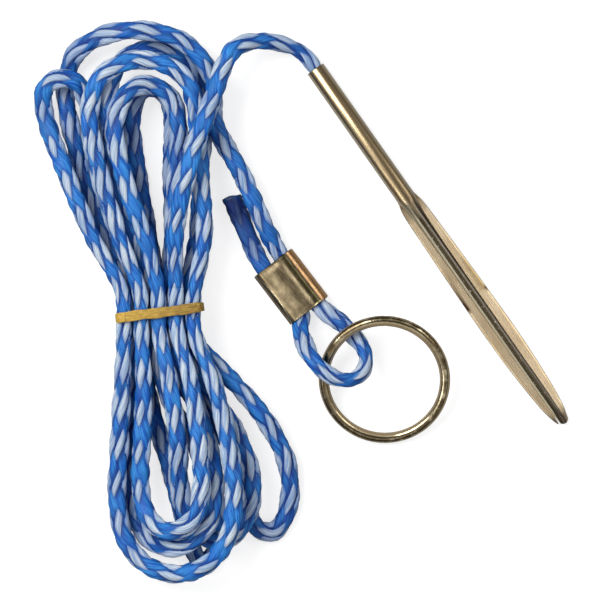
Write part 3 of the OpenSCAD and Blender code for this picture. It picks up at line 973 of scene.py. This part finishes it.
# round sections, each with its place and radius: the bore, the mouth's rim, the outside
ROUNDS = [(BORE_L, 0.5), (BORE_L, BORE), (0.12, BORE), (0.03, BORE + 0.06), (0, BORE + 0.14),
          (0, BORE + 0.26), (0.03, BORE + 0.34), (0.12, SHANK_D / 2), (SHOULDER_AT, SHANK_D / 2)]
TIP_PLACES = (101, 101.8, 102.5, 103, 103.4, 103.7, 103.87, NEEDLE_L)


def eased(x, start, end):
    t = min(max((x - start) / (end - start), 0), 1)
    return t * t * (3 - 2 * t)


def at_place(pairs, x):
    places, values = zip(*pairs)
    return float(np.interp(x, places, values))


def arch(y, half):
    return np.sqrt(np.clip(1 - (y / half) ** 2, 0, 1))


def blade_section(x):
    """The corners of one section: the outside of the tube or the blade."""
    half = at_place(HALF_WIDTHS, x)
    rib, rise = at_place(RIB_HALVES, x), at_place(RIB_HEIGHTS, x)
    cosine = np.cos(TURNS)
    outer = rib + (half - rib) * (np.abs(cosine) - WING_TURN) / (1 - WING_TURN)
    y = np.where(np.abs(cosine) > WING_TURN, np.sign(cosine) * outer, cosine / WING_TURN * rib)
    upper = np.sin(TURNS) >= -1e-9  # nought, but for rounding
    wing = SHANK_D / 2 + (WING_Z - SHANK_D / 2) * eased(x, *WINGS_LOWER)
    wing = wing - WING_FALL * eased(x, *EDGES_LEAN) * np.abs(y) / (BLADE_W / 2)
    wall = NEEDLE_WALL / 2 * eased(x, *WALL_GROWS)
    wall = wall * np.sqrt(np.clip((1 - np.abs(y) / half) / EDGE_ROUND, 0, 1))
    depth = SHANK_D / 2 * (1 - eased(x, *BELLY_RISES))
    hollow = (rise - HOLLOW_ROOF) * eased(x, *HOLLOW_OPENS)
    hollow_half = rib - HOLLOW_WALL * eased(x, *HOLLOW_NARROWS)
    top = wing + wall + rise * arch(y, rib)
    low = wing - wall - depth * arch(y, rib) + hollow * arch(y, hollow_half)
    blade_from = SHANK_L + SHOULDER_L
    drop = TIP_DROP * max(0, (x - blade_from) / (NEEDLE_L - blade_from))
    nose = np.minimum(((y - NOSE_MIDDLE) / NOSE_HALF) ** 2, NOSE_MOST) * NOSE_BACK * eased(x, *NOSE)
    return np.stack([x - nose, y, np.where(upper, top, low) - drop], axis=1)


def round_section(x, radius):
    up = SHANK_D / 2 + radius * np.sin(TURNS)
    return np.stack([np.full(NEEDLE_SIDES, x), radius * np.cos(TURNS), up], axis=1)


needle_loft = [round_section(x, radius) for x, radius in ROUNDS]
for places in (np.linspace(38, 50, 31), np.linspace(51, 100, 50), TIP_PLACES):
    needle_loft += [blade_section(x) for x in places]
print("sections", len(needle_loft))

# %% [markdown]
# Each section becomes a loop of vertices, with faces to the next one. The bottom of
# the bore and the tip are closed with one face each, so the needle is a closed mesh.

# %% Needle
needle_net = bmesh.new()
loops = [[needle_net.verts.new(corner) for corner in section * MM] for section in needle_loft]
for inner, outer in zip(loops, loops[1:]):
    for i in range(NEEDLE_SIDES):
        j = (i + 1) % NEEDLE_SIDES
        needle_net.faces.new((inner[i], inner[j], outer[j], outer[i]))
needle_net.faces.new(loops[0])
needle_net.faces.new(reversed(loops[-1]))
bmesh.ops.recalc_face_normals(needle_net, faces=needle_net.faces)
needle_mesh = bpy.data.meshes.new("needle_sheet")
needle_net.to_mesh(needle_mesh)
needle_net.free()
needle = bpy.data.objects.new("needle_sheet", needle_mesh)
bpy.context.scene.collection.objects.link(needle)
print("faces before the slit", len(needle_mesh.polygons))

# %% [markdown]
# Beside the nose there is a thin slit. A cylinder drawn out to a thin blade is taken
# away from the needle there. Of the ways to subtract, the manifold one is used,
# because it is made for closed meshes, and the loft is one.

# %% The slit
SLIT_HALF, SLIT_DEPTH, SLIT_STRETCH = 0.17, 6, 16  # the last is its length to its width
SLIT_AT = (NEEDLE_L, -0.95, 1)

bpy.ops.object.select_all(action="DESELECT")
bpy.ops.mesh.primitive_cylinder_add(vertices=32, radius=SLIT_HALF * MM, depth=SLIT_DEPTH * MM)
slit = bpy.context.object
slit.scale = (SLIT_STRETCH, 1, 1)
bpy.ops.object.transform_apply(scale=True)
slit.location = [c * MM for c in SLIT_AT]
bpy.context.view_layer.update()
finish_with(needle, "BOOLEAN", operation="DIFFERENCE", object=slit, solver="MANIFOLD")
bpy.data.objects.remove(slit)
set_down(needle, flat_place(MOUTH, 0), NEEDLE_TURN, smooth=40)
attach(needle, "needle")
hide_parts("needle")

# %% [markdown]
# ## The rubber band
#
# A flat band cut from a rubber tube, stretched round the waist of the bundle. The
# solid has its form, so a copy of it is merged and gets rounded edges. Old rubber
# never lies quite straight, so its edges are pulled in and out a little.


# %% Band
def copy_solid(node, name):
    """A copy of a solid whose loose triangles are merged."""
    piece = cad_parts[node].copy()
    piece.data = piece.data.copy()
    piece.name = name
    piece.parent = None
    piece.data.materials.clear()
    bpy.context.scene.collection.objects.link(piece)
    open_piece(piece)
    bpy.ops.mesh.select_all(action="SELECT")
    bpy.ops.mesh.remove_doubles(threshold=2 * CLOSE * MM)
    close_piece()
    return piece


BAND_EDGE, BAND_CUT = 0.24, 0.8
EDGE_FROM = 0.36  # of its width, how far from its middle line an edge begins
PULL_REACH = 1.2  # how far a pull on an edge takes the rubber along
LEFT_END, END_TUCK = -10.1, 0.6  # from where on its left end is tucked in, and how far
# where its edges are out of line: from where to where along it, which edge, how far
BAND_WAVES = [
    (-12, -10.7, -1, 0.2), (-12, -10.8, 1, -0.12), (10.5, 12, -1, 0.16), (10.5, 12, 1, -0.16),
    (-6, -4, 1, 0.16), (-2, 1, -1, -0.14), (2.5, 5, 1, -0.12), (5, 7.5, -1, -0.15),
    (-4.5, -2.5, -1, 0.12),
]

band = copy_solid("rubber_band", "band_strip")
finish_with(band, "BEVEL", width=BAND_EDGE * MM, segments=4, limit_method="ANGLE",
            angle_limit=math.radians(60))
band_middle = to_frame((0, 0, 0))[:2] / MM
open_piece(band)
cut_lines(0, [band_middle[0] + i * BAND_CUT for i in range(-13, 14)])


def on_band(x, y):
    """Along the band and across it, from its middle, in millimetres."""
    c, s = flat_way(BAND_TURN)
    dx, dy = x - band_middle[0], y - band_middle[1]
    return dx * c + dy * s, dy * c - dx * s


def on_edge(x, y, low, high, side):
    along, across = on_band(x, y)
    return low < along < high and side * across > BAND_W * EDGE_FROM


across_band = flat_way(BAND_TURN + 90)
for low, high, side, move in BAND_WAVES:
    pick(band, lambda x, y, z: on_edge(x, y, low, high, side))
    push((*across_band * move, 0), PULL_REACH)
pick(band, lambda x, y, z: on_band(x, y)[0] < LEFT_END)
push((END_TUCK, 0, 0))
close_piece()
set_down(band, (0, 0, 0), 0, smooth=50)
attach(band, "cord")
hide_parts("rubber_band")

# %% [markdown]
# ## The sealed end
#
# The cord is cut with a hot knife, which melts its yarns into one dark, flat, slightly
# swollen end. A ball is pressed flat on its outer side and set into the last strands.

# %% Sealed end
SEAL_SIZE, SEAL_Z = (1.5, 2.42, 1.62), 1.74
SEAL_BACK = 0.3  # how far back from the strands' end its middle lies
# on a ball with a radius of 1: where its flat side begins, how flat and wide it gets,
# where a lip is drawn out of it, how far, and how much it takes along
FLAT_FROM, FLATTEN = 0.35, (0.25, 1.12, 1.12)
LIP_FROM, LIP, LIP_REACH = 0.2, 0.35, 0.9

end_way = unit(eye_way[-1, :2] - eye_way[-4, :2])
bpy.ops.object.select_all(action="DESELECT")
bpy.ops.mesh.primitive_uv_sphere_add(segments=40, ring_count=20, radius=MM, rotation=(0, math.pi / 2, 0))
seal = bpy.context.object
seal.name = "cord_seal"
bpy.ops.object.transform_apply(rotation=True)
open_piece(seal)
pick(seal, lambda x, y, z: x > FLAT_FROM)
bpy.ops.transform.resize(value=FLATTEN, center_override=(FLAT_FROM * MM, 0, 0))
pick(seal, lambda x, y, z: x > 0 and y > LIP_FROM)
push((LIP, 0, 0), LIP_REACH)
close_piece()
seal.scale = SEAL_SIZE
set_down(seal, flat_place(eye_way[-1, :2] - end_way * SEAL_BACK, SEAL_Z),
         math.degrees(math.atan2(end_way[1], end_way[0])), smooth=60)
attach(seal, "cord")

# %% [markdown]
# ## Brass
#
# Old brass isn't one colour. The faces that turn down and away get painted shade,
# which the surface's own direction tells apart, and fine lines run along the needle and
# the sleeve from rolling. Each finish is laid out in the piece's own directions, so that
# a mark can be placed in millimetres.


# %% Finishes in a piece's own directions
class PieceFinish(Finish):
    """A finish whose pattern lies in the piece's own directions, in millimetres."""

    def __init__(self, name, place, turn):
        super().__init__(name)
        source = self.add("ShaderNodeTexCoord", out="Object")
        sockets = {"Vector": source, "Location": place, "Rotation": (0, 0, math.radians(turn)),
                   "Scale": (MM, MM, MM)}
        self.local = self.add("ShaderNodeMapping", {"vector_type": "TEXTURE"}, sockets)
        self.along, self.across, self.up = (
            self.add("ShaderNodeSeparateXYZ", None, {0: self.local}, out) for out in range(3)
        )

    def facing(self):
        """How far the surface faces up, from -1 to 1."""
        normal = self.add("ShaderNodeNewGeometry", out="Normal")
        return self.add("ShaderNodeSeparateXYZ", None, {0: normal}, "Z")

    def stretched(self, scale, noise_scale, detail=4.0, rough=0.6):
        at = self.add("ShaderNodeMapping", None, {"Vector": self.local, "Scale": scale})
        return self.noise(at, noise_scale, detail, rough)

    def near(self, value, middle, reach):
        """1 at the middle, falling to 0 at the reach."""
        off = self.add("ShaderNodeMath", {"operation": "ABSOLUTE"}, {0: value - middle})
        return self.span(off, 0.0, reach, 1.0, 0.0)

    def stretch(self, value, start, full, ebb, end):
        """1 from full to ebb, falling to 0 at the start and at the end."""
        return self.span(value, start, full) * self.span(value, end, ebb)


# %% [markdown]
# The ring's wire mirrors the room in long bright lines. A brown band a little outside
# the wire's middle and paler rims are painted reflections.

# %% The ring's finish
WIRE_DARK_REFLECTION = (0.2, 0.85)  # its middle and reach, out from the middle of the wire
WIRE_PALE_REFLECTIONS = ((0.7, 0.95), (-0.75, -1.0))


def ring_finish():
    brass = PieceFinish("polished_wire", flat_place(RING_MID, ring_z), RING_TURN)
    blotch = brass.stretched((1, 1, 1), 0.35)
    fine = brass.stretched((1, 1, 1), 2.2, 5, 0.7)
    outward = (brass.along * brass.along + brass.across * brass.across) ** 0.5 - RING_R
    painted_dark_reflection = brass.near(outward, *WIRE_DARK_REFLECTION) * brass.span(blotch, 0.3, 0.5)
    painted_pale_reflection = brass.span(outward, *WIRE_PALE_REFLECTIONS[0]) + brass.span(outward, *WIRE_PALE_REFLECTIONS[1])
    tone = brass.mix(brass.span(blotch, 0.35, 0.65), colour("DCCCA8"), colour("A89674"))
    # painted dark reflection along the wire, and painted pale reflections at its rims
    tone = brass.coat(painted_dark_reflection, tone, "4C3E28")
    tone = brass.coat(painted_pale_reflection * 0.9, tone, "B8A27E")
    tone = brass.coat(brass.span(fine, 0.62, 0.8) * 0.5, tone, "5A4A30")
    brass.set(Base_Color=tone, Metallic=1 - painted_pale_reflection * 0.45, Roughness=brass.span(fine, 0.3, 0.7, 0.08, 0.2))
    brass.set(Normal=brass.bump(blotch, 0.25 * MM, 0.35))
    return brass.material


ring.data.materials.append(ring_finish())
print("ring finish", ring.data.materials[0].name)

# %% [markdown]
# The needle's shank has a painted dark reflection, a brown band a little off its
# middle, and a painted pale reflection at its outline; faces that turn away get painted
# shade. The wings are dull and pale, with painted shade at their edges, a golden patch,
# a brown stain on one edge and a nick in the other. The rib between them has a painted
# dark reflection, with a painted highlight line on one side, and a painted pale flank
# and a thin line of painted crease shade on the other. The tip has painted shade too,
# but for a line beside the slit.

# %% The needle's finish
# along the needle, in millimetres: where each mark starts, is full, ebbs and ends
GOLD_ALONG, STAIN_ALONG = (55, 60, 66, 67), (57, 67, 68.4, 69.6)
BLADE_ALONG, RIB_ALONG, TIP_SHADE_ALONG = (SHOULDER_AT + 0.5, SHOULDER_AT + 4), (37, 44), (99.5, 102)
NICK_AT, NICK_L = 66.4, 1.2
# across it: where each mark starts and is full
GOLD_ACROSS, STAIN_ACROSS, NICK_ACROSS = (1.4, 2.8), (-2.5, -3.1), (2.8, 3.2)
FLANK_HIGHLIGHT_ACROSS, TIP_SHADE_ACROSS = (-0.5, -0.62), ((-0.95, -0.8), (-1.0, -1.3))
# across it: the middle and the reach of each line
GLEAM_ACROSS, CREASE_SHADE_ACROSS, DARK_REFLECTION_ACROSS = (0.66, 0.3), (-1.22, 0.3), (0.6, 0.85)
# how far up the rib's painted dark reflection begins, at which place along, and how much lower a
# millimetre on
RIB_UP, RIB_UP_AT, WING_SLOPE = (2.0, 2.2), 60, 0.018


def wing_tone(brass, lines):
    blotch = brass.stretched((0.25, 1, 1), 0.45)
    gold = brass.stretch(brass.along, *GOLD_ALONG) * brass.span(brass.across, *GOLD_ACROSS)
    tone = brass.mix(brass.span(blotch, 0.4, 0.62), colour("E0CAA8"), colour("CCB490"))
    tone = brass.coat(brass.span(lines, 0.4, 0.7) * 0.25, tone, "B09A78")
    # painted shade where the wings' edges lean down
    tone = brass.coat(brass.span(brass.facing(), 0.965, 0.93) * 0.8, tone, "7C7056")
    return brass.coat(gold * 0.6, tone, "9C8450")


def needle_finish():
    brass = PieceFinish("rolled_brass", flat_place(MOUTH, 0), NEEDLE_TURN)
    lines = brass.stretched((0.06, 3, 3), 1.6)
    speck = brass.stretched((0.8, 1, 1), 1.6, 3, 0.6)
    blade = brass.span(brass.along, *BLADE_ALONG)
    rib = brass.span(brass.up + (brass.along - RIB_UP_AT) * WING_SLOPE, *RIB_UP)
    rib = rib * brass.span(brass.along, *RIB_ALONG)
    gleam = brass.near(brass.across, *GLEAM_ACROSS) * rib
    painted_flank_highlight = brass.span(brass.across, *FLANK_HIGHLIGHT_ACROSS) * rib
    painted_crease_shade = brass.near(brass.across, *CREASE_SHADE_ACROSS) * rib
    painted_turned_away_shade = brass.span(brass.facing(), 0.8, 0.4) * (1 - 0.6 * blade)
    painted_dark_reflection = brass.near(brass.across, *DARK_REFLECTION_ACROSS) * (1 - blade)
    painted_pale_reflection = brass.span(brass.facing(), 0.66, 0.5) * (1 - blade)
    stain = brass.stretch(brass.along, *STAIN_ALONG) * brass.span(brass.across, *STAIN_ACROSS)
    nick = brass.near(brass.along, NICK_AT, NICK_L) * brass.span(brass.across, *NICK_ACROSS)

    shank_tone = brass.mix(brass.span(lines, 0.35, 0.65), colour("D4BE98"), colour("A68F6C"))
    tone = brass.mix(blade, shank_tone, wing_tone(brass, lines))
    # painted dark reflection along the rib
    tone = brass.coat(rib * 0.95, tone, "322C20")
    # painted highlight line on one side of the rib
    tone = brass.coat(gleam, tone, "C4B8A8")
    # painted highlight on the rib's pale flank
    tone = brass.coat(painted_flank_highlight, tone, "E8DCBC")
    # painted shade in the crease beside the rib
    tone = brass.coat(painted_crease_shade, tone, "6A5E3C")
    tone = brass.coat(brass.span(speck, 0.64, 0.7) * rib * 0.7, tone, "C4BAA4")
    # painted shade on the faces that turn away from above, less on the blade
    tone = brass.coat(painted_turned_away_shade * (1 - painted_flank_highlight) * 0.85, tone, "4E4230")
    # painted dark reflection, a brown band along the shank
    tone = brass.coat(painted_dark_reflection * 0.8, tone, "5E4C34")
    # painted pale reflection at the shank's outline
    tone = brass.coat(painted_pale_reflection * 0.9, tone, "B4A890")
    tone = brass.coat(stain, tone, "3A2614")
    tone = brass.coat(nick, tone, "3A3024")
    # painted shade on the tip, either side of a line beside the slit
    for side in TIP_SHADE_ACROSS:
        painted_tip_shade = brass.span(brass.along, *TIP_SHADE_ALONG) * brass.span(brass.across, *side)
        tone = brass.coat(painted_tip_shade * 0.8, tone, "4A4136")
    # where reflections and highlights are painted, the metal is less metallic
    painted_light_share = painted_pale_reflection * 0.6 + painted_flank_highlight * 0.5 + gleam * 0.3
    brass.set(Base_Color=tone, Metallic=1 - painted_light_share, Roughness=brass.span(lines, 0.3, 0.7, 0.22, 0.36))
    brass.set(Normal=brass.bump(lines, 0.03 * MM, 0.5))
    return brass.material


needle.data.materials.clear()
needle.data.materials.append(needle_finish())
print("needle finish", needle.data.materials[0].name)

# %% [markdown]
# The sleeve's metal has painted shade in the valley, along one long side and on the
# faces that turn down, a painted warm reflection along the other side, a painted
# highlight on the fold line, and a worn, dull streak.

# %% The sleeve's finish
# across the sleeve, in millimetres: the middle and the reach of each line, and where
# the painted warm reflection starts and is full. The fold line is bowed.
VALLEY_SHADE_ACROSS, SIDE_SHADE_ACROSS, WORN_ACROSS = (2.95, 1.2), (-4.4, 1.0), (-2.4, 1.9)
FOLD_HIGHLIGHT_ACROSS, FOLD_BOW, WARM_REFLECTION_ACROSS = (-4.35, 0.22), 0.018, (3.6, 4.0)


def sleeve_finish():
    metal = PieceFinish("pressed_brass", flat_place(SLEEVE_MID, SLEEVE_H / 2), SLEEVE_TURN)
    blotch = metal.stretched((0.7, 1, 1), 0.45)
    fine = metal.stretched((0.3, 2, 2), 1.5, 5, 0.7)
    painted_warm_reflection = metal.span(metal.across, *WARM_REFLECTION_ACROSS)
    painted_turned_down_shade = metal.span(metal.facing(), 0.7, 0.3) * (1 - 0.7 * painted_warm_reflection)
    fold = metal.along * metal.along * FOLD_BOW + metal.across
    worn = metal.near(metal.across, *WORN_ACROSS)
    tone = metal.mix(metal.span(blotch, 0.35, 0.62), colour("D8C49C"), colour("A08E70"))
    tone = metal.coat(metal.span(fine, 0.5, 0.8) * 0.5, tone, "54502E")
    # painted shade in the valley
    tone = metal.coat(metal.near(metal.across, *VALLEY_SHADE_ACROSS) * 1.1, tone, "504A30")
    # painted warm reflection along one long side
    tone = metal.coat(painted_warm_reflection * 0.8, tone, "CF9E6E")
    # painted shade on the faces that turn down
    tone = metal.coat(painted_turned_down_shade * 0.8, tone, "4A3C28")
    # painted shade along the other long side
    tone = metal.coat(metal.near(metal.across, *SIDE_SHADE_ACROSS) * 0.9, tone, "64553E")
    # painted highlight along the fold line
    tone = metal.coat(metal.near(fold, *FOLD_HIGHLIGHT_ACROSS), tone, "E8D8B2")
    rough = metal.span(fine, 0.3, 0.7, 0.22, 0.36) + worn * 0.2
    metal.set(Base_Color=tone, Metallic=1.0, Roughness=rough)
    metal.set(Normal=metal.bump(blotch, 0.3 * MM, 0.4))
    return metal.material


sleeve.data.materials.append(sleeve_finish())
print("sleeve finish", sleeve.data.materials[0].name)

# %% [markdown]
# ## Rubber and melted cord
#
# The rubber is old and mottled, lighter on its left, with painted shade in a crease
# near that end. The melted end is dark blue, with lighter patches.

# %% Rubber and melted finishes
PALE_TO_BROWN, RUBBER_CREASE_SHADE = (-9.0, 9.0), (-7.9, 0.22)  # along the band, in millimetres


def rubber_finish():
    rubber = PieceFinish("old_rubber", flat_place((0, 0), 0), BAND_TURN)
    blotch = rubber.stretched((0.5, 1, 1), 0.9)
    fine = rubber.stretched((0.35, 1.4, 1.4), 1.5, 5, 0.7)
    tint = rubber.stretched((0.7, 1.6, 1.6), 0.8, 3, 0.6)
    tone = rubber.mix(rubber.span(rubber.along, *PALE_TO_BROWN), colour("DCB24A"), colour("8C6C28"))
    tone = rubber.coat(rubber.span(blotch, 0.45, 0.7) * 0.6, tone, "AC8830")
    tone = rubber.coat(rubber.span(fine, 0.5, 0.68) * 0.8, tone, "7C6C16")
    tone = rubber.coat(rubber.span(fine, 0.48, 0.34) * 0.6, tone, "E6C45C")
    tone = rubber.coat(rubber.span(tint, 0.55, 0.7) * 0.5, tone, "A8683A")
    # painted shade in a crease near the left end
    tone = rubber.coat(rubber.near(rubber.along, *RUBBER_CREASE_SHADE) * 0.6, tone, "6E5420")
    rubber.set(Base_Color=tone, Roughness=rubber.span(fine, 0.3, 0.7, 0.5, 0.7))
    rubber.set(Normal=rubber.bump(fine, 0.15 * MM, 0.8))
    return rubber.material


def melted_finish():
    melted = PieceFinish("melted_cord", (0, 0, 0), 0)
    blotch = melted.stretched((1, 1, 1), 0.8)
    tone = melted.mix(melted.span(blotch, 0.4, 0.65), colour("12245C"), colour("1A5484"))
    melted.set(Base_Color=tone, Roughness=melted.span(blotch, 0.3, 0.7, 0.25, 0.45))
    melted.set(Normal=melted.bump(blotch, 0.4 * MM, 0.6))
    return melted.material


band.data.materials.append(rubber_finish())
seal.data.materials.append(melted_finish())
print("finishes", [material.name for material in bpy.data.materials if material.users])
